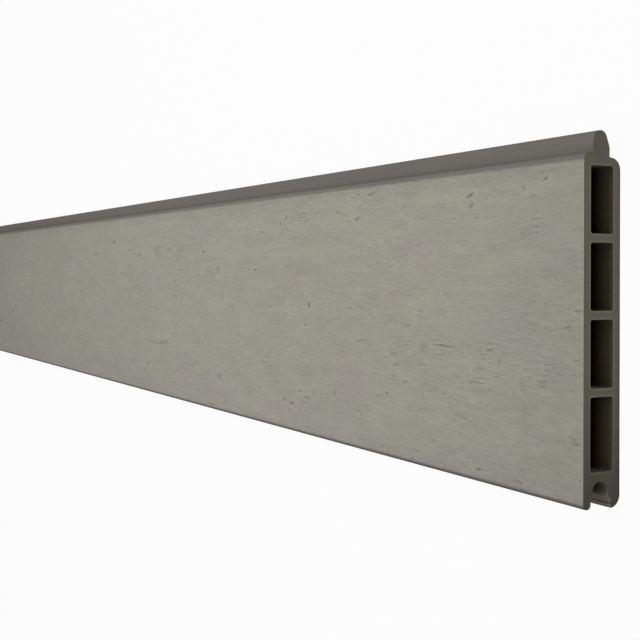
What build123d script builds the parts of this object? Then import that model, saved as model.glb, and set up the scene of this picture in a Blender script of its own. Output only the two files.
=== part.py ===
from build123d import *
import math
import os

# Composite fence board: one extruded wood and plastic profile, hollow, with a tongue along its top edge
# and a groove along its bottom edge, so that boards stack edge on edge between posts.
# It lies on its back: +X runs along the board, +Y points to the tongue, and +Z out of the finished face.
# All sizes are in millimetres.

# The board
board_length = 1800.0
cover_width = 150.0  # front lip's tip to front shoulder: the height that one board adds to a fence
thickness = 20.0

# The hollow inside
wall = 3.9  # front and back walls
web = 3.8  # bridges between chambers
head = 5.5  # solid from the top chamber up to the front shoulder
groove_roof = 4.1  # solid from the groove's crown up to the bottom chamber
bottom_chamber = 31.4  # the bottom chamber is the tallest
upper_chambers = 3  # these share the rest of the height
chamber_corner = 1.0

# The tongue
joint_inset = 9.6  # from the face to the middle of the tongue's root
tongue_height = 9.5  # above the front shoulder
tongue_width = 9.0
tongue_land = 2.5  # height above the front shoulder where the tongue starts to taper
tongue_tip_radius = 3.6
tip_shift = 0.5  # the tip stands this much nearer the face than the root
back_drop = 1.8  # the back shoulder is this much lower, so that the front joint closes first

# The groove
front_clearance = 0.9  # between the tongue and the front lip
back_clearance = 0.8  # between the tongue and the back lip
pocket_clearance = 0.3  # on each side of the tongue's taper
tip_clearance = 1.9  # between the tongue's tip and the groove's crown
mouth_depth = 4.5  # the groove is widest up to here
mouth_slope = 1.6  # the front side slopes over this length into the pocket

# The long edges
shoulder_radius = 3.6
ledge_flat = 0.2  # left between the tongue's root and the back shoulder's round
lip_flat = 0.2  # left on the tip of the front lip, which is round on both sides
lip_drop = 0.2  # the back lip reaches this much lower than the front one
lip_overrun = 0.2  # the back lip's round runs this far past its thickness, so its tip has no flat
root_fillet = 0.5
mouth_fillet = 0.5
lip_fillet = 0.4  # inner edge of the back lip

# Heights up the board, measured from the front lip's tip
back_shoulder = cover_width - back_drop
taper_start = cover_width + tongue_land
tongue_tip = cover_width + tongue_height
tip_centre = tongue_tip - tongue_tip_radius
middle = (tongue_tip - lip_drop) / 2
groove_crown = tongue_height + tip_clearance
bottom_chamber_floor = groove_crown + groove_roof

# Depths through the board, measured from the back face
joint_line = thickness - joint_inset
tongue_front = joint_line + tongue_width / 2
tongue_back = joint_line - tongue_width / 2
chamber_depth = thickness - 2 * wall


def tongue_side(height, side):
    """Depth of the tongue's tapered front (side 1) or back (side -1) at a height over the front shoulder."""
    run = tip_centre - taper_start
    rise = tongue_width / 2 - side * tip_shift
    taper = math.atan2(rise, run) - math.asin(tongue_tip_radius / math.hypot(run, rise))
    return joint_line + side * (tongue_width / 2 - (height - tongue_land) * math.tan(taper))


# The groove is the tongue's own shape with room around it
mouth_front = tongue_front + front_clearance
mouth_back = tongue_back - back_clearance
pocket_front = tongue_side(mouth_depth, 1) + pocket_clearance
pocket_back = tongue_side(mouth_depth, -1) - pocket_clearance
pocket_line = (pocket_front + pocket_back) / 2
pocket_radius = (pocket_front - pocket_back) / 2
pocket_centre = groove_crown - pocket_radius

# The long edges' rounds, each as large as what it stands on allows
lip_radius = (thickness - mouth_front - lip_flat) / 2
back_lip_radius = mouth_back + lip_overrun
back_shoulder_radius = tongue_back - root_fillet - ledge_flat

# Easing the back lip's inner edge shortens it a little, so it is drawn that much longer
eased_radius = back_lip_radius - lip_fillet
eased_off = eased_radius - math.sqrt(eased_radius**2 - (lip_overrun + lip_fillet) ** 2)
back_lip_tip = -lip_drop - eased_off

# The chambers, from the bottom one up: where each starts and how tall it is
upper_space = cover_width - head - bottom_chamber_floor - bottom_chamber
upper_chamber = upper_space / upper_chambers - web
chambers = [(bottom_chamber_floor, bottom_chamber)]
for number in range(upper_chambers):
    floor = bottom_chamber_floor + bottom_chamber + web + number * (upper_chamber + web)
    chambers.append((floor, upper_chamber))

# The section stands in a plane across the board: its X goes up the board and its Y from back to face
section_plane = Plane(origin=(0, -middle, 0), x_dir=(0, 1, 0), z_dir=(1, 0, 0))

with BuildSketch(section_plane) as section:
    # Tongue: a parallel root that tapers, more at the back than at the front, to a round tip
    with Locations((back_shoulder, joint_line)):
        Rectangle(taper_start - back_shoulder, tongue_width, align=(Align.MIN, Align.CENTER))
    with Locations((tip_centre, joint_line + tip_shift)):
        Circle(tongue_tip_radius)
    make_hull()

    # Body, stepped down behind the tongue and a little lower at its back lip
    with BuildLine():
        Polyline(
            (back_lip_tip, 0),
            (back_shoulder, 0),
            (back_shoulder, joint_line),
            (cover_width, joint_line),
            (cover_width, thickness),
            (0, thickness),
            (0, joint_line),
            (back_lip_tip, joint_line),
            close=True,
        )
    make_face()

    def corner(height, depth):
        """The section's vertex nearest to a place."""
        return section.vertices().sort_by_distance((height, depth))[0]

    fillet([corner(cover_width, tongue_front), corner(back_shoulder, tongue_back)], root_fillet)
    fillet(corner(cover_width, thickness), shoulder_radius)
    fillet(corner(back_shoulder, 0), back_shoulder_radius)
    fillet(corner(back_lip_tip, 0), back_lip_radius)

    # Groove: a wide mouth that slopes in at the front and steps in at the back, then a pocket
    # with a round crown
    with BuildLine():
        Polyline(
            (back_lip_tip, mouth_back),
            (mouth_depth, mouth_back),
            (mouth_depth, pocket_front),
            (mouth_depth - mouth_slope, mouth_front),
            (back_lip_tip, mouth_front),
            close=True,
        )
    make_face(mode=Mode.SUBTRACT)
    with Locations((0, pocket_line)):
        Rectangle(pocket_centre, 2 * pocket_radius, align=(Align.MIN, Align.CENTER), mode=Mode.SUBTRACT)
    with Locations((pocket_centre, pocket_line)):
        Circle(pocket_radius, mode=Mode.SUBTRACT)
    fillet(corner(mouth_depth, mouth_back), mouth_fillet)

    # Lips: the front one is round on both sides, the back one has its inner edge eased
    fillet([corner(0, mouth_front), corner(0, thickness)], lip_radius)
    fillet(corner(back_lip_tip, mouth_back), lip_fillet)

    # Chambers
    for floor, height in chambers:
        with Locations((floor + height / 2, thickness / 2)):
            RectangleRounded(height, chamber_depth, chamber_corner, mode=Mode.SUBTRACT)

with BuildPart() as fence_board:
    extrude(section.sketch, amount=board_length / 2, both=True)

fence_board.part.label = "fence_board"

os.makedirs("parts", exist_ok=True)
export_step(fence_board.part, "parts/fence_board.step")
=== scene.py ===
# Composite fence board, lying on its back with the finished face up.
# One extruded piece: a light brushed finish on the face, the bare extruded skin round it, sawn ends
# and four dark chambers. X runs along the board, Y points to its tongue.
import math

import bmesh
import bpy
import numpy as np
from mathutils import Matrix, Vector


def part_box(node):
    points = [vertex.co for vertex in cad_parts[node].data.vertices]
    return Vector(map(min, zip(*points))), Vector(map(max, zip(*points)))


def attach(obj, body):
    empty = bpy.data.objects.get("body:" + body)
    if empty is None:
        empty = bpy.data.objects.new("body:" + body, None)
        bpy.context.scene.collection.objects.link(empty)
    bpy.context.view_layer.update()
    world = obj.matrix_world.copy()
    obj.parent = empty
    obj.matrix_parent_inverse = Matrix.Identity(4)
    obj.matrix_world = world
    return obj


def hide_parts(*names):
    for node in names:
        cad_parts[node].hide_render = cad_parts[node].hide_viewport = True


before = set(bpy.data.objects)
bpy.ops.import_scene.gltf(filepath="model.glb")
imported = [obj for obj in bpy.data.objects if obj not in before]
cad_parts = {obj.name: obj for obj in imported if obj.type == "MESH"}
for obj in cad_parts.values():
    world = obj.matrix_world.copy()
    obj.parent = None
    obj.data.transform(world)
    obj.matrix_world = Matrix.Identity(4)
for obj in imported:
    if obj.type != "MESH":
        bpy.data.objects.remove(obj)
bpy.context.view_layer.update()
boardLow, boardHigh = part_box("fence_board")
mm = 0.001
print("frame loaded, board box", [round(side / mm, 1) for side in boardHigh - boardLow], "mm")


# Small helpers for node trees
def addNode(tree, kind, inputs=None, **settings):
    # a kind without Node in its name is a shader node
    node = tree.nodes.new(kind if "Node" in kind else "ShaderNode" + kind)
    place = len(tree.nodes)
    node.location = (200 * (place % 14), -300 * (place // 14))
    for name, value in settings.items():
        setattr(node, name, value)
    for name, value in (inputs or {}).items():
        if isinstance(value, bpy.types.NodeSocket):
            tree.links.new(value, node.inputs[name])
        else:
            node.inputs[name].default_value = value
    return node


def made(kind, inputs, **settings):
    # the first output of a new node, in the tree that its inputs come from
    sockets = [value for value in inputs.values() if isinstance(value, bpy.types.NodeSocket)]
    return addNode(sockets[0].id_data, kind, inputs, **settings).outputs[0]


def maths(operation, *values):
    return made("Math", dict(enumerate(values)), operation=operation)


def times(first, second):
    return maths("MULTIPLY", first, second)


def plus(first, second):
    return maths("ADD", first, second)


def minus(first, second):
    return maths("SUBTRACT", first, second)


def absolute(value):
    return maths("ABSOLUTE", value)


def remap(value, fromMin, fromMax, toMin=0, toMax=1, **settings):
    ranges = {"Value": value, "From Min": fromMin, "From Max": fromMax, "To Min": toMin, "To Max": toMax}
    return made("MapRange", ranges, **settings)


def axesOf(vector):
    return addNode(vector.id_data, "SeparateXYZ", {"Vector": vector}).outputs


def vectorOf(**axes):
    return made("CombineXYZ", axes)


def scaled(vector, share):
    return made("VectorMath", {0: vector, "Scale": share}, operation="SCALE")


def divided(vector, by):
    return made("VectorMath", {0: vector, 1: by}, operation="DIVIDE")


def weighted(masks, amounts, start=0):
    # the start value plus each mask times its amount
    total = start
    for name, amount in amounts.items():
        sockets = {0: masks[name], 1: amount, 2: total}
        total = made("Math", sockets, operation="MULTIPLY_ADD")
    return total


def addSockets(tree, inputs, outputs):
    for name, kind, value in inputs:
        socket = tree.interface.new_socket(name, in_out="INPUT", socket_type=kind)
        if value is not None:
            socket.default_value = value
    for name, kind in outputs:
        tree.interface.new_socket(name, in_out="OUTPUT", socket_type=kind)
    return addNode(tree, "NodeGroupInput").outputs, addNode(tree, "NodeGroupOutput").inputs


def hexColour(text):
    # an sRGB colour as the linear values that a colour socket takes
    parts = [int(text[i:i + 2], 16) / 255 for i in (0, 2, 4)]
    return tuple(c / 12.92 if c < 0.04045 else ((c + 0.055) / 1.055) ** 2.4 for c in parts) + (1.0,)


# Camera: level with the board's middle, close to its near end, turned so that the face fills the view
photoView = {
    "place": (1.2717, 0.018, 0.3413),
    "turn": 62.11,  # degrees from straight down towards the near end
    "tilt": 0.54,
    "roll": 0.29,
    "lens": 64.5,
    "shiftY": -0.0869,
}


def makeCamera():
    view = photoView
    data = bpy.data.cameras.new("photoCamera")
    data.lens = view["lens"]
    data.shift_y = view["shiftY"]
    data.clip_start = 0.01
    camera = bpy.data.objects.new("photoCamera", data)
    turns = [Matrix.Rotation(math.radians(view[name]), 4, axis) for name, axis in
             (("turn", "Y"), ("tilt", "X"), ("roll", "Z"))]
    camera.matrix_world = Matrix.Translation(view["place"]) @ turns[0] @ turns[1] @ turns[2]
    bpy.context.scene.collection.objects.link(camera)
    bpy.context.scene.camera = camera


makeCamera()
print("camera made")


# Section of the board in mm: heights run up from the front lip's tip, depths from the back to the face
section = {
    "thickness": (boardHigh.z - boardLow.z) / mm,
    "lipDrop": 0.2,  # the back lip reaches this much lower than the front one
    "tongueTip": (boardHigh.y - boardLow.y) / mm - 0.2,
    "coverWidth": 150,
    "backDrop": 1.8,
    "wall": 3.9,
    "web": 3.8,
    "head": 5.5,
    "grooveRoof": 4.1,
    "bottomChamber": 31.4,
    "upperChambers": 3,
    "chamberCorner": 1,
    "jointInset": 9.6,
    "tongueWidth": 9,
    "tongueLand": 2.5,
    "tongueTipRadius": 3.6,
    "tipShift": 0.5,  # the tip stands this much nearer the face than the root
    "mouthRoom": (0.9, 0.8),  # front and back of the tongue
    "pocketRoom": 0.3,
    "tipRoom": 1.9,
    "mouthDepth": 4.5,
    "mouthSlope": 1.6,
    "shoulderRadius": 3.6,
    "lipFlat": 0.2,
    "ledgeFlat": 0.2,
    "lipOverrun": 0.2,
    "rootFillet": 0.5,
    "mouthFillet": 0.5,
    "lipFillet": 0.4,
    "faceColumns": 208,  # cells across the finished face
    "support": 0.5,  # extra points this far from the ends of a flat keep its shading flat
}
originHeight = section["tongueTip"] - boardHigh.y / mm  # the height at which Y is 0


def arc(height, depth, radius, start, end, steps):
    angles = np.radians(np.linspace(start, end, steps + 1))
    return [(height + radius * math.cos(a), depth + radius * math.sin(a)) for a in angles]


def lipRadius():
    s = section
    mouthFront = s["thickness"] - s["jointInset"] + s["tongueWidth"] / 2 + s["mouthRoom"][0]
    return (s["thickness"] - mouthFront - s["lipFlat"]) / 2


def outerOutline():
    # once round the section, with the material on the left: tongue root, face, lips, groove, back, tongue
    s = section
    face = s["thickness"]
    joint = face - s["jointInset"]
    half = s["tongueWidth"] / 2
    front, back = joint + half, joint - half
    mouthFront, mouthBack = front + s["mouthRoom"][0], back - s["mouthRoom"][1]
    mouthDepth = s["mouthDepth"]
    cover = s["coverWidth"]
    backShoulder = cover - s["backDrop"]
    land = cover + s["tongueLand"]
    tip = s["tongueTipRadius"]
    tipCentre = s["tongueTip"] - tip
    run = tipCentre - land
    tapers = [math.atan2(rise, run) - math.asin(tip / math.hypot(run, rise))
              for rise in (half - s["tipShift"], half + s["tipShift"])]
    falls = [(mouthDepth - s["tongueLand"]) * math.tan(taper) for taper in tapers]
    pocketFront = front - falls[0] + s["pocketRoom"]
    pocketBack = back + falls[1] - s["pocketRoom"]
    pocketLine, pocket = (pocketFront + pocketBack) / 2, (pocketFront - pocketBack) / 2
    crown = s["tongueTip"] - cover + s["tipRoom"] - pocket
    lip = lipRadius()
    shoulder = s["shoulderRadius"]
    root = s["rootFillet"]
    mouth = s["mouthFillet"]
    ease = s["lipFillet"]
    backLip = mouthBack + s["lipOverrun"]
    backRound = back - root - s["ledgeFlat"]
    easeSide = math.sqrt((backLip - ease) ** 2 - (s["lipOverrun"] + ease) ** 2)
    easeEnd = 180 + math.degrees(math.atan2(s["lipOverrun"] + ease, easeSide))
    lipLine = easeSide + ease - s["lipDrop"]  # height of the middle of the back lip's round
    return (
        [(land, front)]
        + arc(cover + root, front + root, root, 270, 180, 3)
        + arc(cover - shoulder, face - shoulder, shoulder, 0, 90, 8)
        + [(cover - shoulder - (cover - shoulder - lip) * i / s["faceColumns"], face)
           for i in range(1, s["faceColumns"])]
        + arc(lip, face - lip, lip, 90, 180, 6)
        + arc(lip, mouthFront + lip, lip, 180, 270, 6)
        + [(mouthDepth - s["mouthSlope"], mouthFront), (mouthDepth, pocketFront)]
        + arc(crown, pocketLine, pocket, 90, -90, 14)
        + [(mouthDepth, pocketBack)]
        + arc(mouthDepth - mouth, mouthBack + mouth, mouth, 0, -90, 3)
        + arc(lipLine - easeSide, mouthBack - ease, ease, 90, easeEnd, 3)
        + arc(lipLine, backLip, backLip, easeEnd, 270, 7)[1:]
        + [(lipLine + s["support"], 0), (backShoulder - backRound - s["support"], 0)]
        + arc(backShoulder - backRound, backRound, backRound, 270, 360, 7)
        + arc(backShoulder + root, back - root, root, 180, 90, 3)
        + [(land, back)]
        + arc(tipCentre, joint + s["tipShift"], tip, math.degrees(tapers[1]) - 90,
              90 - math.degrees(tapers[0]), 10)
    )


def chamberHeights():
    # where each chamber starts and ends, from the bottom one up
    s = section
    floor = s["tongueTip"] - s["coverWidth"] + s["tipRoom"] + s["grooveRoof"]
    space = s["coverWidth"] - s["head"] - floor - s["bottomChamber"]
    upper = space / s["upperChambers"] - s["web"]
    heights = []
    for height in [s["bottomChamber"]] + [upper] * s["upperChambers"]:
        heights.append((floor, floor + height))
        floor += height + s["web"]
    return heights


def chamberOutlines():
    # one loop for each chamber, with the material on the left
    s = section
    corner = s["chamberCorner"]
    deep, shallow = s["thickness"] - s["wall"] - corner, s["wall"] + corner
    outlines = []
    for floor, roof in chamberHeights():
        low, high = floor + corner, roof - corner
        loop = []
        corners = (((low, deep), 180), ((high, deep), 90), ((high, shallow), 0), ((low, shallow), -90))
        for centre, start in corners:
            bend = [Vector(point) for point in arc(*centre, corner, start, start - 90, 4)]
            angle = math.radians(start)
            arriving = Vector((math.sin(angle), -math.cos(angle)))
            leaving = Vector((-math.cos(angle), -math.sin(angle)))
            loop += [bend[0] - arriving * s["support"]] + bend + [bend[-1] + leaving * s["support"]]
        outlines.append(loop)
    return outlines


# The extruded length and the relief of its brushed face, in mm
extrusion = {
    "faceRows": 232,
    "chamberRows": 16,
    "sawBevel": 0.1,
    "brushDepth": 0.07,
    "brushLength": 45,
    "brushWidth": 2.2,
    "waveDepth": 0.09,
    "waveLength": 300,
    "waveWidth": 30,
    "reliefBorder": 2.5,  # the relief dies out over this width at the face's long edges
    "reliefFromCut": 10,  # and over this length before a sawn end
    "faceEdge": 0.7,  # its rounded edges belong to the face down to this depth
    "mergeDistance": 0.004,
    "sharpAngle": 32,  # degrees
    "seed": 4.0,
}
regionNumber = {"skin": 0, "face": 1, "sawnEnd": 2, "chamber": 3}


def profileMesh():
    # the loops of the section as edges. Curve to Mesh lays a profile's x along -Y and its y along -Z
    s = section
    points, edges, outward, relief, region = [], [], [], [], []
    for number, outline in enumerate([outerOutline()] + chamberOutlines()):
        loop = np.array([tuple(point) for point in outline])
        first = len(points)
        along = np.roll(loop, -1, 0) - loop
        along /= np.linalg.norm(along, axis=1)[:, None]
        sideNormal = np.stack([along[:, 1], -along[:, 0]], 1)
        cornerNormal = sideNormal + np.roll(sideNormal, 1, 0)
        cornerNormal /= (cornerNormal * sideNormal).sum(1)[:, None]
        for (height, depth), normal in zip(loop, cornerNormal):
            points.append((-(height - originHeight) * mm, -depth * mm, 0))
            outward.append((0, normal[0], normal[1]))
            fromEdge = min(height - lipRadius(), s["coverWidth"] - s["shoulderRadius"] - height)
            onFace = number == 0 and depth > s["thickness"] - 1e-6
            relief.append(min(1, max(0, fromEdge / extrusion["reliefBorder"])) if onFace else 0)
            nearFace = number == 0 and depth > s["thickness"] - extrusion["faceEdge"]
            region.append(regionNumber["chamber" if number else "face" if nearFace else "skin"])
        edges += [(first + i, first + (i + 1) % len(loop)) for i in range(len(loop))]
    mesh = bpy.data.meshes.new("profile")
    mesh.from_pydata(points, edges, [])
    mesh.attributes.new("outward", "FLOAT_VECTOR", "POINT").data.foreach_set("vector", np.ravel(outward))
    mesh.attributes.new("relief", "FLOAT", "POINT").data.foreach_set("value", relief)
    mesh.attributes.new("profileRegion", "INT", "POINT").data.foreach_set("value", region)
    return mesh


def addAttribute(tree, name, kind="FLOAT"):
    return addNode(tree, "GeometryNodeInputNamedAttribute", {"Name": name}, data_type=kind).outputs[0]


def moved(geometry, **place):
    return made("GeometryNodeSetPosition", {"Geometry": geometry, **place})


def addSweep(tree, profile, length, rows, bevel):
    # stations along X: even ones, and two close to each end for the saw's edge
    index = addNode(tree, "GeometryNodeInputIndex").outputs[0]
    last = minus(rows, 1)
    fromEnd = minus(last, index)
    nearest = maths("MINIMUM", index, fromEnd)
    side = maths("SIGN", minus(index, fromEnd))
    edge = times(bevel, 2)
    inner = minus(times(length, 0.5), edge)
    even = remap(index, 2, minus(last, 2), times(inner, -1), inner)
    extra = times(side, remap(nearest, 0, 2, edge, 0))
    line = made("GeometryNodeMeshLine", {"Count": rows})
    line = moved(line, Position=vectorOf(X=plus(even, extra)))
    path = made("GeometryNodeMeshToCurve", {"Mesh": line})
    loops = made("GeometryNodeMeshToCurve", {"Mesh": profile})
    sweep = made("GeometryNodeCurveToMesh", {"Curve": path, "Profile Curve": loops})
    # the last station is drawn in by the bevel
    position = addNode(tree, "GeometryNodeInputPosition").outputs[0]
    toEnd = minus(times(length, 0.5), absolute(axesOf(position)["X"]))
    atEnd = maths("LESS_THAN", toEnd, times(bevel, 0.5))
    inwards = times(atEnd, times(bevel, -1))
    offset = scaled(addAttribute(tree, "outward", "FLOAT_VECTOR"), inwards)
    return moved(sweep, Offset=offset), position, toEnd


def addEndCap(tree, profile, length, bevel, side):
    # the section filled with its chambers left open, stood up at one end
    outward = axesOf(addAttribute(tree, "outward", "FLOAT_VECTOR"))
    inset = vectorOf(X=times(outward["Y"], bevel), Y=times(outward["Z"], bevel))
    shrunk = moved(profile, Offset=inset)
    loops = made("GeometryNodeMeshToCurve", {"Mesh": shrunk})
    cap = made("GeometryNodeFillCurve", {"Curve": loops}, mode="TRIANGLES")
    flat = axesOf(addNode(tree, "GeometryNodeInputPosition").outputs[0])
    stood = vectorOf(X=times(length, side / 2), Y=times(flat["X"], -1), Z=times(flat["Y"], -1))
    cap = moved(cap, Position=stood)
    return made("GeometryNodeFlipFaces", {"Mesh": cap}) if side < 0 else cap


def markRegion(geometry, region):
    sockets = {"Geometry": geometry, "Name": "region", "Value": region}
    return made("GeometryNodeStoreNamedAttribute", sockets, domain="FACE", data_type="INT")


def inRegion(tree, attribute, region):
    return maths("COMPARE", addAttribute(tree, attribute, "INT"), regionNumber[region], 0.1)


def addRelief(tree, start, position, toEnd):
    # how far the brushed ridges and the waves sink the face; they die out at its edges
    inwards = []
    for name in ("Brush", "Wave"):
        along, across = start[name + " Length"], start[name + " Width"]
        place = divided(position, vectorOf(X=along, Y=across, Z=along))
        sockets = {"Vector": place, "W": start["Seed"], "Scale": 1, "Detail": 1.5}
        noise = made("TexNoise", sockets, noise_dimensions="4D")
        inwards.append(times(noise, start[name + " Depth"]))
    clear = remap(toEnd, times(start["Saw Bevel"], 2.5), extrusion["reliefFromCut"] * mm)
    share = times(addAttribute(tree, "relief"), clear)
    depth = times(plus(*inwards), share)
    return vectorOf(Z=times(depth, -1))


def buildExtrusionTree():
    tree = bpy.data.node_groups.new("extrudedBoard", "GeometryNodeTree")
    names = {
        "Geometry": ["Profile"],
        "Float": ["Length", "Saw Bevel", "Brush Depth", "Brush Length", "Brush Width",
                  "Wave Depth", "Wave Length", "Wave Width", "Seed"],
        "Int": ["Face Rows", "Chamber Rows"],
        "Material": ["Skin", "Face", "Sawn End", "Chamber"],
    }
    sockets = [(name, "NodeSocket" + kind, None) for kind in names for name in names[kind]]
    start, end = addSockets(tree, sockets, [("Board", "NodeSocketGeometry")])
    profile, length, bevel = start["Profile"], start["Length"], start["Saw Bevel"]
    split = addNode(tree, "GeometryNodeSeparateGeometry",
                    {"Geometry": profile, "Selection": inRegion(tree, "profileRegion", "chamber")},
                    domain="POINT").outputs

    outside, position, toEnd = addSweep(tree, split["Inverted"], length, start["Face Rows"], bevel)
    outside = moved(outside, Offset=addRelief(tree, start, position, toEnd))
    # a cell of the sweep belongs to the face if one of its points does
    onFace = maths("GREATER_THAN", addAttribute(tree, "profileRegion", "INT"), 0)
    outside = markRegion(outside, maths("CEIL", minus(onFace, 0.1)))
    tubes = addSweep(tree, split["Selection"], length, start["Chamber Rows"], bevel)[0]
    tubes = markRegion(tubes, regionNumber["chamber"])
    caps = [markRegion(addEndCap(tree, profile, length, bevel, side), regionNumber["sawnEnd"])
            for side in (-1, 1)]

    joined = addNode(tree, "GeometryNodeJoinGeometry")
    for part in [outside, tubes] + caps:
        tree.links.new(part, joined.inputs[0])
    sockets = {"Geometry": joined.outputs[0], "Distance": extrusion["mergeDistance"] * mm}
    whole = made("GeometryNodeMergeByDistance", sockets)
    whole = made("GeometryNodeSetShadeSmooth", {"Geometry": whole})
    for name in ("outward", "relief", "profileRegion"):
        whole = made("GeometryNodeRemoveAttribute", {"Geometry": whole, "Name": name})
    whole = made("GeometryNodeRealizeInstances", {"Geometry": whole})
    sockets = {"Geometry": whole, "Material": start["Skin"]}
    whole = made("GeometryNodeSetMaterial", sockets)
    for name, region in (("Face", "face"), ("Sawn End", "sawnEnd"), ("Chamber", "chamber")):
        sockets = {"Geometry": whole, "Selection": inRegion(tree, "region", region), "Material": start[name]}
        whole = made("GeometryNodeSetMaterial", sockets)
    tree.links.new(whole, end["Board"])
    return tree


def setModifierInputs(modifier, values):
    for item in modifier.node_group.interface.items_tree:
        if item.item_type == "SOCKET" and item.in_out == "INPUT" and item.name in values:
            modifier[item.identifier] = values[item.name]


def extrudeBoard(materials):
    e = extrusion
    source = bpy.data.objects.new("boardProfile", profileMesh())
    bpy.context.scene.collection.objects.link(source)
    modifier = source.modifiers.new("extrude", "NODES")
    modifier.node_group = buildExtrusionTree()
    values = {"Length": boardHigh.x - boardLow.x, "Saw Bevel": e["sawBevel"] * mm, "Seed": e["seed"],
              "Face Rows": e["faceRows"], "Chamber Rows": e["chamberRows"]}
    for name in ("Brush", "Wave"):
        for side in ("Depth", "Length", "Width"):
            values[name + " " + side] = e[name.lower() + side] * mm
    setModifierInputs(modifier, {**values, **materials})
    evaluated = source.evaluated_get(bpy.context.evaluated_depsgraph_get())
    mesh = bpy.data.meshes.new_from_object(evaluated)
    source.modifiers.remove(modifier)
    bpy.data.objects.remove(source)
    mesh.name = "board"
    return mesh


# Shared effects, as node groups
def startGroup(name, inputs, outputs):
    # inputs are numbers with their usual values, or vectors where that is None
    tree = bpy.data.node_groups.new(name, "ShaderNodeTree")
    sockets = [(label, "NodeSocketVector" if value is None else "NodeSocketFloat", value)
               for label, value in inputs.items()]
    start, end = addSockets(tree, sockets, [(label, "NodeSocketFloat") for label in outputs])
    return tree, start, end


def stretchedPlace(start):
    # the place in steps of the pattern's length and width
    size = vectorOf(X=start["Length"], Y=start["Width"], Z=start["Width"])
    return divided(start["Vector"], size)


def buildLengthwiseNoise():
    # noise drawn out along the board, as streaks, die lines or clouds
    inputs = {"Vector": None, "Length": 0.02, "Width": 0.001, "Roughness": 0.5, "Seed": 0}
    tree, start, end = startGroup("lengthwiseNoise", inputs, ["Noise"])
    sockets = {"Vector": stretchedPlace(start), "W": start["Seed"], "Scale": 1, "Detail": 3,
               "Roughness": start["Roughness"]}
    noise = made("TexNoise", sockets, noise_dimensions="4D")
    # spread to about -1 to 1 round its middle
    tree.links.new(remap(noise, 0.25, 0.75, -1, 1), end["Noise"])
    return tree


spotShape = {"radius": (0.16, 0.42), "soft": 0.08, "rim": (-0.12, -0.02)}  # in cells


def buildScatteredSpots():
    # separate spots, a share of the cells of a Voronoi pattern: pits and wood fibres
    inputs = {"Vector": None, "Length": 0.01, "Width": 0.005, "Share": 0.3, "Seed": 0}
    tree, start, end = startGroup("scatteredSpots", inputs, ["Spot", "Rim", "Tone"])
    sockets = {"Vector": stretchedPlace(start), "W": start["Seed"], "Scale": 1}
    cells = addNode(tree, "TexVoronoi", sockets, voronoi_dimensions="4D", feature="F1")
    random = addNode(tree, "SeparateColor", {"Color": cells.outputs["Color"]}).outputs
    chosen = maths("LESS_THAN", random["Red"], start["Share"])
    radius = remap(random["Green"], 0, 1, *spotShape["radius"])
    toEdge = minus(radius, cells.outputs["Distance"])
    spot = remap(toEdge, 0, spotShape["soft"])
    around = minus(remap(toEdge, *spotShape["rim"]), spot)
    tree.links.new(times(spot, chosen), end["Spot"])
    tree.links.new(times(maths("MAXIMUM", around, 0), chosen), end["Rim"])
    tree.links.new(random["Blue"], end["Tone"])
    return tree


rimShape = {"grain": 900, "leastWidth": 0.4}


def buildSawnRim():
    # 1 on the last fraction of a millimetre before a sawn end, with a ragged inner side
    tree, start, end = startGroup("sawnRim", {"Vector": None, "Width": 0.0006}, ["Rim"])
    toEnd = minus(boardHigh.x, absolute(axesOf(start["Vector"])["X"]))
    ragged = made("TexNoise", {"Vector": start["Vector"], "Scale": rimShape["grain"], "Detail": 2})
    width = times(start["Width"], plus(ragged, rimShape["leastWidth"]))
    tree.links.new(minus(1, remap(toEnd, 0, width)), end["Rim"])
    return tree


# The groove's inside in mm, for the painted shade in it and for the dust in it, which is partly painted
# light
grooveShade = {
    "top": 13,
    "behind": 0.6,  # it starts this much in front of the back wall
    "pocketRamp": (4.1, 8.5),  # darker over these heights
    "mouthRamp": (4.5, 5.7),
    "fromCut": (1, 8),  # darker over this distance from a sawn end
    "lineCore": 0.4,  # of the line's half width is at its full strength
    "rootLift": 0.4,
    "lipRamp": (0.4, 2.4),
}


def buildGrooveShade():
    # the groove's inside, and painted shade: how deep a place lies in its pocket, a shadow line inside its
    # back lip, the tongue's root and the lips' undersides
    inputs = {"Vector": None, "Line Height": 0.0018, "Line Width": 0.0005, "Root Reach": 0.002}
    tree, start, end = startGroup("grooveShade", inputs, ["Groove", "PocketShade", "Line", "RootShade", "LipShade"])
    s, g = section, grooveShade
    axes = axesOf(start["Vector"])
    height = plus(axes["Y"], originHeight * mm)

    def ramp(value, name, *ends):
        return remap(value, g[name][0] * mm, g[name][1] * mm, *ends)

    inside = times(maths("GREATER_THAN", axes["Z"], (s["wall"] + g["behind"]) * mm),
                   maths("LESS_THAN", axes["Z"], (s["thickness"] - s["wall"]) * mm))
    low = times(inside, maths("LESS_THAN", height, g["top"] * mm))
    toEnd = minus(boardHigh.x, absolute(axes["X"]))
    # painted shade: the pocket is darker deeper in and farther from a sawn end
    deep = times(ramp(toEnd, "fromCut"), ramp(height, "mouthRamp"))
    both = times(plus(ramp(height, "pocketRamp"), deep), 0.5)
    # a painted shadow line along the inside of the back lip
    offLine = absolute(minus(height, start["Line Height"]))
    width = start["Line Width"]
    line = remap(offLine, times(width, g["lineCore"]), width, 1, 0)
    # painted shade in the corner at the tongue's root
    fromRoot = absolute(minus(height, (s["coverWidth"] + g["rootLift"]) * mm))
    root = remap(fromRoot, 0, start["Root Reach"], 1, 0)
    front = maths("GREATER_THAN", axes["Z"], (s["thickness"] - s["jointInset"]) * mm)
    # painted shade on the lips' undersides, which face away from the light
    lip = times(ramp(height, "lipRamp", 1, 0), minus(1, low))
    for name, mask in (("Groove", low), ("PocketShade", times(low, both)), ("Line", times(line, low)),
                       ("RootShade", times(root, front)), ("LipShade", lip)):
        tree.links.new(mask, end[name])
    return tree


noiseGroup = buildLengthwiseNoise()
spotGroup = buildScatteredSpots()
rimGroup = buildSawnRim()
grooveGroup = buildGrooveShade()


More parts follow.
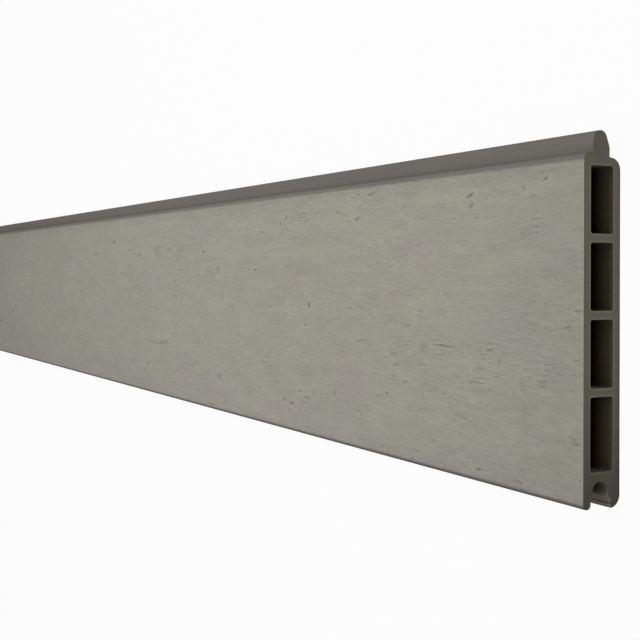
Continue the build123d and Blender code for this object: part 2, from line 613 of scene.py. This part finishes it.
def addGroup(group, inputs):
    return addNode(inputs["Vector"].id_data, "Group", inputs, node_tree=group).outputs


def objectPlace(tree):
    return addNode(tree, "TexCoord").outputs["Object"]


def lengthwise(place, length, width, seed, roughness=0.5):
    sockets = {"Vector": place, "Length": length * mm, "Width": width * mm,
               "Roughness": roughness, "Seed": seed}
    return addGroup(noiseGroup, sockets)["Noise"]


def spots(place, length, width, share, seed):
    sockets = {"Vector": place, "Length": length * mm, "Width": width * mm, "Share": share, "Seed": seed}
    return addGroup(spotGroup, sockets)


def sawnRim(place, width):
    return addGroup(rimGroup, {"Vector": place, "Width": width * mm})["Rim"]


def blendColours(share, first, second):
    first, second = [hexColour(colour) if isinstance(colour, str) else colour for colour in (first, second)]
    # inputs 6 and 7 and output 2 of a Mix node are its colours
    sockets = {"Factor": share, 6: first, 7: second}
    return addNode(share.id_data, "Mix", sockets, data_type="RGBA").outputs[2]


def shade(colour, masks, amounts):
    # each mask lightens or darkens by its amount
    return scaled(colour, weighted(masks, amounts, 1))


def emptyTree(owner):
    owner.use_nodes = True
    owner.node_tree.nodes.clear()
    return owner.node_tree


def startMaterial(name):
    material = bpy.data.materials.new(name)
    tree = emptyTree(material)
    shader = addNode(tree, "BsdfPrincipled")
    addNode(tree, "OutputMaterial", {"Surface": shader.outputs[0]})
    return material, tree, shader


def finishMaterial(tree, shader, finish, masks, colour):
    height = weighted(masks, finish["heights"])
    sockets = {"Height": height, "Distance": finish["relief"] * mm, "Strength": 1}
    bump = addNode(tree, "Bump", sockets)
    roughness = weighted(masks, finish["roughnesses"], finish["roughness"])
    for name, value in (("Base Color", colour), ("Roughness", roughness), ("Normal", bump.outputs[0])):
        tree.links.new(value, shader.inputs[name])
    shader.inputs["Specular IOR Level"].default_value = finish["specular"]


def addNoises(place, finish):
    return {name: lengthwise(place, *values) for name, values in finish["noises"].items()}


def addFibres(place, masks, finish):
    fibres = spots(place, *finish["fibres"])
    masks["spot"] = fibres["Spot"]
    masks["fleck"] = times(fibres["Spot"], remap(fibres["Tone"], 0, 1, *finish["fleckRange"]))


# The bare extruded surface. In all finishes a noise is length and width in mm, seed and roughness; fibres
# and pits are length, width, share and seed; tones, roughnesses and heights say what each mask adds
skinFinish = {
    "colour": "6b6866",
    "warm": "6c6863",
    "dustAndLight": "a39c8b",  # dust settled in the groove, lighter still as painted light bounced in from the floor
    "dustAndLightShare": 0.85,
    "noises": {"lines": (700, 0.55, 1, 0.7), "cloud": (160, 14, 2)},
    "fibres": (3.2, 0.5, 0.16, 3),
    "fleckRange": (-1, 1),  # from the darkest fibre to the lightest
    "rim": 0.5,
    # the line in the groove, the tongue's root and the lips' undersides are darkened as painted shade
    "tones": {"lines": 0.08, "cloud": 0.05, "fleck": 0.14, "rim": -0.2,
              "Line": -0.6, "RootShade": -0.16, "LipShade": -0.5},
    # painted shade in the groove's pocket
    "pocketShadeTone": {"PocketShade": -0.97},  # at the groove's deepest
    "roughness": 0.68,
    "roughnesses": {"lines": 0.05, "cloud": 0.04, "spot": 0.1, "Groove": 0.25},
    "heights": {"lines": 0.5, "fleck": 0.4},
    "relief": 0.05,
    "specular": 0.03,
}


def addSkinColour(place):
    s = skinFinish
    masks = addNoises(place, s)
    masks.update(addGroup(grooveGroup, {"Vector": place}).items())
    addFibres(place, masks, s)
    masks["rim"] = sawnRim(place, s["rim"])
    base = blendColours(remap(masks["cloud"], -1, 1), s["colour"], s["warm"])
    # dust in the groove, made lighter as painted light from the floor
    base = blendColours(times(masks["Groove"], s["dustAndLightShare"]), base, s["dustAndLight"])
    base = shade(base, masks, s["tones"])
    # the pocket's painted shade
    return shade(base, masks, s["pocketShadeTone"]), masks


def makeExtrudedSkin():
    material, tree, shader = startMaterial("extrudedSkin")
    colour, masks = addSkinColour(objectPlace(tree))
    finishMaterial(tree, shader, skinFinish, masks, colour)
    return material


# The light brushed finish of the face
faceFinish = {
    "warm": "979488",
    "cool": "98948e",
    "bare": "625e53",  # under the finish, where it is chipped
    "bareShare": 0.5,
    "noises": {
        "cloud": (260, 60, 5),
        "patch": (62, 24, 16),
        "mottle": (30, 9, 6, 0.6),
        "band": (24, 3.2, 12, 0.6),
        "streak": (8, 1.3, 7, 0.6),
        "hair": (6, 0.5, 8, 0.7),
        "dash": (8, 1, 15, 0.65),
        "crackNoise": (7.5, 0.7, 18, 0.55),
        "crackCluster": (38, 15, 19, 0.65),
        "cluster": (75, 30, 10, 0.7),  # dashes and pits come in clusters of about this size
        "ragged": (1.8, 0.65, 17, 0.75),
        "border": (6, 2, 11, 0.7),
    },
    "pits": (3.2, 1.3, 0.45, 9),
    "ranges": {  # of the noise or distance that makes a mask, and the mask's ends if not 0 and 1
        "cluster": (-0.4, 0.5),
        "worn": (0.3, 1.1, 1, 0),
        "darkDash": (0.25, 0.75),
        "lightDash": (-0.3, -0.8),
        "cracked": (0, 0.55),
        "crack": (0.3, 0.65),
        "besideCrack": (0.02, 0.2),
        "inCrack": (0.2, 0.4),
        "cool": (0.15, 0.9),
        "chip": (0, 0.45),
        "besideChip": (-0.7, -0.3),
        "inChip": (-0.2, 0.15),
        "scratch": (0.15, 0.7, 1, 0),
        "scratchBreaks": (-0.7, 0, 0.4, 1),
        "burr": (0.1, 0.6, 1, 0),
    },
    "wornPlace": (0.8, 58),  # a rougher area: x in metres and height in mm
    "wornSize": (300, 62),
    "wornCluster": 0.5,  # how much closer the clusters come in it
    "wornMore": 0.3,  # of the dashes and cracks between them
    "chipShrink": -0.3,
    "chipRagged": 0.95,  # how much noise breaks up its outline
    "scratchRagged": 0.2,
    "burrPlace": 0.95,  # mm beside a scratch
    "edgeStrip": 9,
    "lowPart": 45,  # above the front lip's tip
    "lowBorder": 1.4,
    "highBorder": 146.7,
    "borderSoft": 1.2,
    "borderRagged": 0.4,
    "nearCut": 80,  # a little darker over this length before a sawn end
    # a painted highlight along the face's sawn edge
    "rim": 0.9,
    "coolness": {"patch": 0.8, "lowPart": 0.6},
    # crackEdge, pitRim, chipRim and burr are painted highlights on the edges of the marks
    "tones": {
        "cloud": 0.04, "patch": -0.03, "mottle": 0.07, "band": 0.055, "streak": 0.062, "hair": 0.055,
        "crack": -0.28, "crackEdge": 0.16, "darkDash": -0.16, "lightDash": 0.18, "pit": -0.18, "pitRim": 0.1,
        "lowStrip": -0.07, "lowPart": -0.04, "highStrip": -0.1, "nearCut": -0.085, "rim": 0.15,
        "chipRim": 0.16, "burr": 0.14,
    },
    "bareTone": {"opened": -0.1},
    "roughness": 0.8,
    "roughnesses": {"mottle": 0.03, "pit": 0.1, "opened": 0.1},
    "heights": {
        "streak": 0.8, "hair": 0.5, "darkDash": -1.2, "crack": -2, "pit": -1.5, "pitRim": 0.3,
        "chip": -2.2, "chipRim": 0.5, "scratch": -2, "burr": 0.6,
    },
    "relief": 0.06,
    "specular": 0.25,
}


def addMask(tree, name):
    return addNode(tree, "Attribute", attribute_name=name).outputs["Fac"]


def within(value, name):
    return remap(value, *faceFinish["ranges"][name])


def addWear(tree, place, masks, x, height):
    # dashes, cracks and pits in clusters, closer together in the worn area
    f = faceFinish
    (wornX, wornHeight), (wornLength, wornWidth) = f["wornPlace"], f["wornSize"]
    alongWorn = remap(x, wornX, wornX + wornLength * mm / 2, clamp=False)
    acrossWorn = remap(height, wornHeight * mm, (wornHeight + wornWidth / 2) * mm, clamp=False)
    offWorn = vectorOf(X=alongWorn, Y=acrossWorn)
    away = addNode(tree, "VectorMath", {0: offWorn}, operation="LENGTH").outputs["Value"]
    worn = within(away, "worn")
    rough = within(plus(masks["cluster"], times(worn, f["wornCluster"])), "cluster")
    more = times(worn, f["wornMore"])
    rough = plus(rough, more)
    for name in ("darkDash", "lightDash"):
        masks[name] = times(within(masks["dash"], name), rough)
    cracked = plus(within(masks["crackCluster"], "cracked"), more)
    noise = masks["crackNoise"]
    masks["crack"] = times(within(noise, "crack"), cracked)
    # a painted highlight beside each crack
    edge = minus(within(noise, "besideCrack"), within(noise, "inCrack"))
    masks["crackEdge"] = times(edge, cracked)
    pits = spots(place, *f["pits"])
    cluster = within(masks["cluster"], "cluster")
    masks["pit"] = times(pits["Spot"], cluster)
    # a painted highlight round each pit
    masks["pitRim"] = times(pits["Rim"], cluster)


def addStrips(masks, height, toEnd):
    # the face is a little darker along its long edges and before a sawn end
    f = faceFinish
    strip, top = f["edgeStrip"] * mm, f["highBorder"] * mm
    masks["lowStrip"] = remap(height, 0, strip, 1, 0)
    masks["lowPart"] = remap(height, 0, f["lowPart"] * mm, 1, 0)
    masks["highStrip"] = remap(height, top - strip, top)
    masks["nearCut"] = remap(toEnd, 0, f["nearCut"] * mm, 1, 0)


def addChipsAndScratches(tree, masks):
    # their places are on the mesh, noise breaks them up
    f = faceFinish
    shape = plus(addMask(tree, "chipShape"), weighted(masks, {"ragged": f["chipRagged"]}, f["chipShrink"]))
    strength = addMask(tree, "chipStrength")
    # a painted highlight round each chip, which is raised in relief too
    around = minus(within(shape, "besideChip"), within(shape, "inChip"))
    masks["chip"] = times(within(shape, "chip"), strength)
    masks["chipRim"] = times(maths("MAXIMUM", around, 0), strength)
    side = weighted(masks, {"ragged": f["scratchRagged"]}, addMask(tree, "scratchSide"))
    breaks = within(masks["ragged"], "scratchBreaks")
    strength = times(addMask(tree, "scratchStrength"), breaks)
    masks["scratch"] = times(within(absolute(side), "scratch"), strength)
    # the burr beside a scratch is raised in relief and lighter as a painted highlight
    offBurr = absolute(minus(side, f["burrPlace"]))
    masks["burr"] = times(within(offBurr, "burr"), strength)
    masks["opened"] = maths("MAXIMUM", masks["chip"], masks["scratch"])


def addCover(masks, height):
    # the finish stops raggedly where the face rounds into the lip and the shoulder
    f = faceFinish
    edge = weighted(masks, {"border": f["borderRagged"] * mm}, height)
    soft, bottom, top = f["borderSoft"] * mm, f["lowBorder"] * mm, f["highBorder"] * mm
    low = remap(edge, bottom, bottom + soft)
    high = remap(edge, top - soft / 2, top + soft / 2, 1, 0)
    return times(low, high)


def makeBrushedFace():
    f = faceFinish
    material, tree, shader = startMaterial("brushedFace")
    place = objectPlace(tree)
    axes = axesOf(place)
    height = plus(axes["Y"], originHeight * mm)
    masks = addNoises(place, f)
    addWear(tree, place, masks, axes["X"], height)
    addStrips(masks, height, minus(boardHigh.x, absolute(axes["X"])))
    addChipsAndScratches(tree, masks)
    # a painted highlight along the sawn edge
    masks["rim"] = sawnRim(place, f["rim"])
    coolShare = within(weighted(masks, f["coolness"]), "cool")
    base = shade(blendColours(coolShare, f["warm"], f["cool"]), masks, f["tones"])
    base = blendColours(times(masks["opened"], f["bareShare"]), base, f["bare"])
    base = shade(base, masks, f["bareTone"])
    skinColour = addSkinColour(place)[0]
    colour = blendColours(addCover(masks, height), skinColour, base)
    finishMaterial(tree, shader, f, masks, colour)
    return material


# The sawn ends
sawnFinish = {
    "front": "82806f",
    "back": "88837a",
    "light": "9a9787",
    "noises": {"grit": (0.7, 0.7, 12, 0.75), "cloud": (9, 9, 13)},
    "fibres": (0.9, 0.45, 0.4, 14),
    "fleckRange": (-0.8, 1.2),
    "sawLine": 0.35,  # mm between the saw's lines, which run down the board's thickness
    "lineStretch": 0.04,
    "sawContrast": (0.3, 0.7),
    "openingRim": (0.45, 1),  # mm of smoother, lighter material round each chamber
    "openingRagged": 0.15,
    "openingShare": 0.75,
    "backRange": (3, 12),  # mm from the back over which its colour turns into the front's
    "backRagged": 2,
    "lowShadeReach": 60,  # painted shade towards the lips; the end is also a little darker at the tongue
    "topRange": (140, 149),
    "backEdge": (0.21, 0.7),
    "tones": {"grit": 0.08, "cloud": 0.04, "fleck": 0.16, "sawLines": 0.05},
    "shadeAndDarkening": {"lowShade": -0.5, "top": -0.13, "backEdge": -0.55},
    "roughness": 0.85,
    "roughnesses": {"grit": 0.05, "opening": -0.1},
    "heights": {"grit": 0.5, "sawLines": 0.35, "fleck": 0.3},
    "relief": 0.08,
    "specular": 0.2,
}


def addChamberDistance(height, depth):
    # mm from the nearest chamber's opening, for a place on the sawn end
    s = section
    half, corner = s["thickness"] / 2, s["chamberCorner"]
    across = minus(absolute(minus(depth, half)), half - s["wall"] - corner)
    across = maths("MAXIMUM", across, 0)
    nearest = None
    for low, high in chamberHeights():
        offMiddle = absolute(minus(height, (low + high) / 2))
        past = maths("MAXIMUM", minus(offMiddle, (high - low) / 2 - corner), 0)
        square = plus(times(past, past), times(across, across))
        away = minus(maths("SQRT", square), corner)
        nearest = maths("MINIMUM", nearest, away) if nearest else away
    return nearest


def makeSawnEnd():
    s = sawnFinish
    material, tree, shader = startMaterial("sawnEnd")
    place = objectPlace(tree)
    axes = axesOf(place)
    height = plus(times(axes["Y"], 1 / mm), originHeight)
    depth = times(axes["Z"], 1 / mm)
    masks = addNoises(place, s)
    addFibres(place, masks, s)
    drawn = made("Mapping", {"Vector": place, "Scale": (1, 1, s["lineStretch"])})
    sockets = {"Vector": drawn, "Scale": 1 / (s["sawLine"] * mm), "Detail": 2}
    masks["sawLines"] = remap(made("TexNoise", sockets), *s["sawContrast"], -1, 1)
    away = weighted(masks, {"grit": s["openingRagged"]}, addChamberDistance(height, depth))
    masks["opening"] = remap(away, *s["openingRim"], 1, 0)
    # painted shade: the sawn end darker towards the lips, where less light falls
    masks["lowShade"] = remap(height, 0, s["lowShadeReach"], 1, 0)
    masks["top"] = remap(height, *s["topRange"])
    masks["backEdge"] = remap(depth, *s["backEdge"], 1, 0)
    acrossBack = remap(weighted(masks, {"cloud": s["backRagged"]}, depth), *s["backRange"])
    base = blendColours(acrossBack, s["back"], s["front"])
    base = blendColours(times(masks["opening"], s["openingShare"]), base, s["light"])
    base = shade(base, masks, s["tones"])
    finishMaterial(tree, shader, s, masks, shade(base, masks, s["shadeAndDarkening"]))
    return material


# The chamber walls: the same skin, painted near black as shade deep inside, and lighter near the ends with
# saw dust and painted light
chamberFinish = {
    # painted shade: the walls are painted near black, as little light reaches into the chambers
    "colour": "0d0b09",
    "dustAndLight": "716657",
    "dustAndLightRange": (6, 13.5),  # mm from a sawn end
    "dustSpecks": (-0.8, 0.4, 0.75, 1),
    "noises": {"lines": (500, 0.7, 15, 0.7), "specks": (0.8, 0.8, 16, 0.7)},
    "tones": {"lines": 0.12, "specks": 0.05},
    "roughness": 0.85,
    "roughnesses": {"dustyAndLit": 0.15, "lines": 0.05},
    "heights": {"lines": 0.5, "specks": 0.2},
    "relief": 0.06,
    "specular": 0.08,
}


def makeChamberWall():
    c = chamberFinish
    material, tree, shader = startMaterial("chamberWall")
    place = objectPlace(tree)
    masks = addNoises(place, c)
    inwards = minus(boardHigh.x, absolute(axesOf(place)["X"]))
    nearest, farthest = c["dustAndLightRange"]
    # saw dust and painted light near the openings
    dustyAndLit = remap(inwards, nearest * mm, farthest * mm, 1, 0)
    masks["dustyAndLit"] = times(dustyAndLit, remap(masks["specks"], *c["dustSpecks"]))
    base = blendColours(masks["dustyAndLit"], c["colour"], c["dustAndLight"])
    finishMaterial(tree, shader, c, masks, shade(base, masks, c["tones"]))
    return material


materials = {"Skin": makeExtrudedSkin(), "Face": makeBrushedFace(),
             "Sawn End": makeSawnEnd(), "Chamber": makeChamberWall()}
print("materials made:", ", ".join(material.name for material in materials.values()))

# Chips and scratches of the face: x along the board in metres, height, length and width in mm, turn in
# degrees, and how strong. Past the picture's left edge a few more are scattered
faceMarks = {
    "chips": [
        (0.618, 134.2, 5.5, 4.5, 60, 1), (0.6096, 130, 5, 3, 10, 0.8), (0.6186, 126.4, 3.5, 2.5, 0, 0.6),
        (0.7144, 141, 5, 1.8, 0, 0.45), (0.7085, 129.4, 7, 3, 8, 0.75), (0.7117, 130.4, 3, 2.6, 0, 0.9),
        (0.7586, 134, 6, 6, 60, 0.22), (0.764, 125.6, 3, 2, 0, 0.5), (0.819, 136.6, 10, 3.2, 16, 1),
        (0.819, 131, 7, 5.5, 70, 0.6), (0.823, 129, 4, 2, 0, 0.5), (0.805, 125.6, 7, 2.2, -20, 0.5),
        (0.86, 137.2, 5, 3.5, -40, 0.45), (0.87, 136, 3, 2.4, 60, 0.4), (0.8752, 140.4, 6, 2.8, 25, 0.9),
        (0.8556, 116, 4, 1.8, 0, 0.5), (0.7525, 109, 3, 1.8, 0, 0.6), (0.756, 109.2, 2.6, 1.6, 0, 0.5),
        (0.761, 108.8, 4, 1.6, 0, 0.5), (0.6505, 79.4, 6.5, 4.6, -52, 1), (0.705, 95.6, 3, 2, 0, 0.5),
        (0.743, 89.4, 6, 1.6, 0, 0.45), (0.702, 79, 10, 1.8, 4, 0.6), (0.896, 83, 8, 1.9, 4, 0.7),
        (0.883, 96, 5, 2.4, -20, 0.4), (0.645, 67, 12, 2.2, 0, 0.65), (0.638, 70.4, 6, 1.6, 0, 0.5),
        (0.706, 57.6, 7, 1.6, 4, 0.5), (0.74, 60, 6, 1.5, 0, 0.45), (0.751, 62, 11, 1.8, 4, 0.55),
        (0.778, 61, 13, 8, 0, 0.35), (0.834, 63, 10, 1.7, 0, 0.7), (0.835, 66.4, 9, 1.6, 4, 0.6),
        (0.842, 58, 6, 2.6, -20, 0.5), (0.84, 51, 13, 1.8, 9, 0.6), (0.777, 52.2, 14, 2, 0, 0.45),
        (0.873, 50, 10, 5, 0, 0.4), (0.5856, 40, 4, 3.6, 20, 0.8), (0.636, 41, 8, 2, 0, 0.4),
        (0.67, 40, 6, 3, -10, 0.45), (0.683, 29, 7, 5, -50, 0.5), (0.7345, 38.8, 6, 2.4, -10, 0.5),
        (0.747, 40, 4, 2.4, 60, 0.5), (0.7424, 34.4, 5, 2.6, 0, 0.7), (0.79, 40.8, 9, 1.6, 0, 0.5),
        (0.796, 38.6, 10, 1.6, 0, 0.45), (0.638, 26, 7, 1.9, 0, 0.7), (0.64, 20.8, 9, 2, 0, 0.5),
        (0.6485, 23, 10, 3.4, 0, 0.7), (0.652, 22.6, 4, 3, 0, 0.9), (0.628, 17.4, 11, 3.4, 8, 0.65),
        (0.617, 18.6, 6, 4.4, 10, 0.6), (0.71, 31.6, 11, 1.5, -4, 0.5), (0.826, 6, 9, 3.2, 4, 0.6),
        (0.854, 20, 7, 2.6, -30, 0.35), (0.857, 5, 8, 2.4, 0, 0.6), (0.894, 28, 9, 4.6, -30, 0.5),
        (0.8975, 26.6, 4, 2.4, 0, 0.6), (0.65, 5, 7, 1.8, 0, 0.6), (0.898, 12, 3, 2, 0, 0.7),
        (0.266, 126.6, 16, 4.6, 0, 0.8), (0.278, 123.6, 10, 3, 0, 0.5), (0.3096, 118.6, 9, 3.4, 0, 1),
        (0.3215, 118.6, 5, 2.6, 0, 0.5), (0.336, 114.2, 18, 5.6, 0, 0.5), (0.38, 117, 26, 14, 0, 0.28),
        (0.408, 117, 22, 6, 8, 0.55), (0.4296, 116.2, 9, 3, -10, 0.5), (0.479, 114.6, 8, 3.4, 0, 1),
        (0.4209, 92, 9, 3.2, 0, 0.75), (0.5274, 123.6, 7, 2.4, -15, 0.5), (0.5795, 126.4, 9, 3, -15, 0.6),
        (0.573, 101.2, 13, 2, 6, 0.9), (0.559, 129.3, 5, 1.8, 0, 0.45), (0.5013, 86.3, 9, 1.7, 0, 0.5),
        (0.2926, 56.4, 12, 5, -10, 0.6), (0.3328, 47.4, 10, 3.4, 0, 0.8), (0.359, 23.8, 22, 5, 6, 0.5),
        (0.4285, 31.4, 9, 1.6, 0, 0.4), (0.4915, 25, 5, 4.4, 0, 0.5), (0.512, 25, 15, 7, 0, 0.4),
        (0.522, 29.7, 5, 3, -20, 0.7), (0.5057, 39, 9, 3, -10, 0.4), (0.585, 40.2, 3.6, 4.4, 60, 0.8),
        (0.5785, 36.9, 6, 1.8, 0, 0.5), (0.5796, 22.7, 11, 4, 0, 0.55), (0.4698, 11.9, 12, 4.4, 0, 0.4),
        (0.499, 3.6, 24, 2.6, 0, 0.7), (0.04, 139.5, 12, 4, 0, 0.7), (-0.0325, 129.5, 12, 4, 0, 0.9),
        (0.09, 45.5, 18, 8, 0, 0.45), (0.16, 80.5, 16, 6, 0, 0.4), (0.21, 117, 26, 8, 0, 0.45),
        (0.768, 3, 5, 2.6, 20, 0.6), (0.798, 3.2, 6, 2.4, 0, 0.5), (0.68, 3.4, 7, 2, 0, 0.4),
        (-0.2, 38.4, 64, 2.4, 4, 0.75), (-0.126, 55, 27, 3.2, 34, 0.7),
    ],
    "scratches": [
        ([(0.369, 41.4), (0.385, 41.8), (0.407, 43.1)], 0.9),
        ([(0.348, 43.4), (0.36, 43), (0.374, 42.6)], 0.35),
        ([(0.369, 54.4), (0.378, 55.2), (0.388, 55.4)], 0.35),
        ([(0.388, 43.3), (0.397, 44), (0.406, 45.3)], 0.6),
        ([(0.705, 60.4), (0.713, 61.2), (0.7225, 62)], 0.75),
        ([(0.705, 57.6), (0.7135, 58.4)], 0.5),
        ([(0.786, 62.9), (0.797, 63), (0.809, 62.6)], 0.7),
        ([(0.575, 101.6), (0.583, 102.6)], 0.5),
        ([(0.788, 98.2), (0.81, 97.6), (0.85, 97.6), (0.897, 98.2)], 0.13),
        ([(-0.26, 36.6), (-0.22, 37.2), (-0.19, 38.6), (-0.16, 41.4)], 1),
        ([(-0.158, 48.2), (-0.14, 49.4), (-0.128, 53), (-0.115, 59.5)], 1),
    ],
    "cuts": 5,  # each cell near a mark is cut into one more than this
    "longEdge": 3,  # only edges longer than this along the board are cut
    "chipMargin": 0.65,  # of a chip's size to each side of its middle
    "cutMargin": (1.5, 1),  # mm more along and across the board
    "scratchMargin": 2,
    "chipDepth": 0.16,
    "scratchDepth": 0.1,
    "scratchReach": 2.5,  # mm beside it where a scratch's strength is gone
    "tipStrength": 0.25,  # of a scratch at its ends
    "tipLength": 6,  # its strength grows by 1 over this length, up to all of it
    "noChip": -1.0,  # the values of the fields away from all marks
    "noScratch": 3.0,
    "border": 1.5,  # the dents die out over this width at the face's low edge and its sawn ends
    "scattered": 26,
    "scatteredSeed": 11,
    "scatteredRanges": ((-0.88, -0.3), (8, 142), (4, 13), (1.6, 3.8), (-25, 25), (0.35, 0.95)),
}


def gatherChips():
    # the listed chips, and the scattered ones on the unseen length
    random = np.random.RandomState(faceMarks["scatteredSeed"])
    chips = list(faceMarks["chips"])
    for _ in range(faceMarks["scattered"]):
        chips.append(tuple(random.uniform(*ends) for ends in faceMarks["scatteredRanges"]))
    return chips


def chipField(x, height, chips):
    # 1 at a chip's middle, 0 at its edge and negative outside, with the strength of the nearest one
    shape, strength = np.full(len(x), faceMarks["noChip"]), np.zeros(len(x))
    for place, middle, length, width, turn, strong in chips:
        along, up = (x - place) / mm, height - middle
        cosine, sine = math.cos(math.radians(turn)), math.sin(math.radians(turn))
        own = 1 - np.hypot((along * cosine + up * sine) / (length / 2),
                           (up * cosine - along * sine) / (width / 2))
        nearer = own > shape
        shape[nearer], strength[nearer] = own[nearer], strong
    return shape, strength


def scratchField(x, height):
    # mm to the left or right of the nearest scratch, and how strong it is there
    m = faceMarks
    side, strength = np.full(len(x), m["noScratch"]), np.zeros(len(x))
    for line, strong in m["scratches"]:
        points = np.array([(place / mm, up) for place, up in line])
        total = np.linalg.norm(np.diff(points, axis=0), axis=1).sum()
        done = 0.0
        for first, second in zip(points, points[1:]):
            run = second - first
            size = np.linalg.norm(run)
            away = np.stack([x / mm - first[0], height - first[1]], 1)
            share = np.clip(away @ run / size ** 2, 0, 1)
            rest = away - share[:, None] * run
            distance = np.hypot(rest[:, 0], rest[:, 1])
            signed = np.where(run[0] * away[:, 1] - run[1] * away[:, 0] < 0, -distance, distance)
            toTip = np.minimum(done + share * size, total - done - share * size)
            nearer = distance < np.abs(side)
            side[nearer] = signed[nearer]
            tapered = strong * np.clip(m["tipStrength"] + toTip / m["tipLength"], 0, 1)
            strength[nearer] = (tapered * np.clip(m["scratchReach"] - distance, 0, 1))[nearer]
            done += size
    return side, strength


def refineNearMarks(mesh, chips):
    # the sweep's cells are long: those near a mark are cut across, so that the mark has points to follow
    m = faceMarks
    margin, (marginAlong, marginAcross) = m["chipMargin"], m["cutMargin"]
    edit = bmesh.new()
    edit.from_mesh(mesh)
    region = edit.faces.layers.int["region"]
    cells = [face for face in edit.faces if face[region] == regionNumber["face"]]
    middles = np.array([face.calc_center_median() for face in cells])
    x, height = middles[:, 0], middles[:, 1] / mm + originHeight
    reach = (boardHigh.x - boardLow.x) / mm / extrusion["faceRows"] / 2 + marginAlong
    near = np.zeros(len(cells), bool)
    for place, middle, length, width, turn, strong in chips:
        cosine, sine = abs(math.cos(math.radians(turn))), abs(math.sin(math.radians(turn)))
        near |= ((np.abs(x - place) / mm < margin * (length * cosine + width * sine) + reach)
                 & (np.abs(height - middle) < margin * (length * sine + width * cosine) + marginAcross))
    for shift in (-reach, 0, reach):
        near |= np.abs(scratchField(x + shift * mm, height)[0]) < m["scratchMargin"]
    edges = {edge for cell, chosen in zip(cells, near) if chosen for edge in cell.edges
             if abs(edge.verts[0].co.x - edge.verts[1].co.x) > m["longEdge"] * mm}
    bmesh.ops.subdivide_edges(edit, edges=list(edges), cuts=m["cuts"], use_grid_fill=True)
    # cells beside the cut ones have points along an edge: a middle point keeps their triangles whole
    bmesh.ops.poke(edit, faces=[face for face in edit.faces if len(face.verts) > 4])
    edit.to_mesh(mesh)
    edit.free()


def addMarks(mesh):
    m = faceMarks
    chips = gatherChips()
    refineNearMarks(mesh, chips)
    places = np.empty(len(mesh.vertices) * 3)
    mesh.vertices.foreach_get("co", places)
    places = places.reshape(-1, 3)
    x, height = places[:, 0], places[:, 1] / mm + originHeight
    onFace = places[:, 2] > boardHigh.z - extrusion["faceEdge"] * mm
    shape, strength = chipField(x, height, chips)
    side, scratched = scratchField(x, height)
    for values, away in ((shape, m["noChip"]), (side, m["noScratch"]), (strength, 0.0), (scratched, 0.0)):
        values[~onFace] = away
    fromEdge = np.minimum(height - lipRadius(), boardHigh.x / mm - np.abs(x / mm))
    sunk = m["chipDepth"] * strength * np.clip(shape * 2, 0, 1)
    sunk = np.maximum(sunk, m["scratchDepth"] * scratched * np.clip(1 - np.abs(side), 0, 1))
    places[:, 2] -= sunk * np.clip(fromEdge / m["border"], 0, 1) * mm
    mesh.vertices.foreach_set("co", places.ravel())
    for name, values in (("chipShape", shape), ("chipStrength", strength),
                         ("scratchSide", side), ("scratchStrength", scratched)):
        mesh.attributes.new(name, "FLOAT", "POINT").data.foreach_set("value", values.astype(np.float32))


boardMesh = extrudeBoard(materials)
addMarks(boardMesh)
boardMesh.attributes.remove(boardMesh.attributes["region"])
boardMesh.set_sharp_from_angle(angle=math.radians(extrusion["sharpAngle"]))
board = bpy.data.objects.new("board", boardMesh)
bpy.context.scene.collection.objects.link(board)
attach(board, "root")
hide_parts("fence_board")
print("board extruded and marked,", sum(len(face.vertices) - 2 for face in boardMesh.polygons), "triangles")


# Floor, light and background
studio = {
    "floorSize": 14,
    "floorGap": 0.2,  # mm under the board's back
    "floorColour": "bcbcbc",
    "whiteShare": 0.96,  # how far the floor is lifted to white for the camera
    "fill": 0.36,
    "softboxPlace": (0.69, 0.4, 1.18),
    "softboxAim": (0.6, 0, 0),
    "softboxSize": (0.9, 0.9),
    "softboxPower": 11.2,
}


def seenDirectly(tree):
    # 1 for what the camera sees, also by way of gloss or glass
    rays = addNode(tree, "LightPath").outputs
    passedOn = maths("MAXIMUM", rays["Is Glossy Ray"], rays["Is Transmission Ray"])
    return maths("MAXIMUM", rays["Is Camera Ray"], passedOn)


def makeFloor():
    half, drop = studio["floorSize"] / 2, -studio["floorGap"] * mm
    mesh = bpy.data.meshes.new("floor")
    corners = [(-half, -half, drop), (half, -half, drop), (half, half, drop), (-half, half, drop)]
    mesh.from_pydata(corners, [], [(0, 1, 2, 3)])
    floor = bpy.data.objects.new("floor", mesh)
    bpy.context.scene.collection.objects.link(floor)
    material = bpy.data.materials.new("paleFloor")
    tree = emptyTree(material)
    matte = addNode(tree, "BsdfDiffuse", {"Color": hexColour(studio["floorColour"])})
    white = addNode(tree, "Emission", {"Strength": 1})
    share = times(seenDirectly(tree), studio["whiteShare"])
    mixed = addNode(tree, "MixShader", {0: share, 1: matte.outputs[0], 2: white.outputs[0]})
    addNode(tree, "OutputMaterial", {"Surface": mixed.outputs[0]})
    mesh.materials.append(material)


def makeLight():
    s = studio
    world = bpy.data.worlds.new("studio")
    bpy.context.scene.world = world
    tree = emptyTree(world)
    strength = remap(seenDirectly(tree), 0, 1, s["fill"], 1)
    background = addNode(tree, "Background", {"Color": (1, 1, 1, 1), "Strength": strength})
    addNode(tree, "OutputWorld", {"Surface": background.outputs[0]})

    data = bpy.data.lights.new("softbox", "AREA")
    data.shape = "RECTANGLE"
    data.size, data.size_y = s["softboxSize"]
    data.energy = s["softboxPower"]
    lamp = bpy.data.objects.new("softbox", data)
    place, aim = Vector(s["softboxPlace"]), Vector(s["softboxAim"])
    turn = (aim - place).to_track_quat("-Z", "Y").to_matrix().to_4x4()
    lamp.matrix_world = Matrix.Translation(place) @ turn
    bpy.context.scene.collection.objects.link(lamp)


makeFloor()
makeLight()
bpy.context.scene.view_settings.view_transform = "Standard"
print("floor and light made")
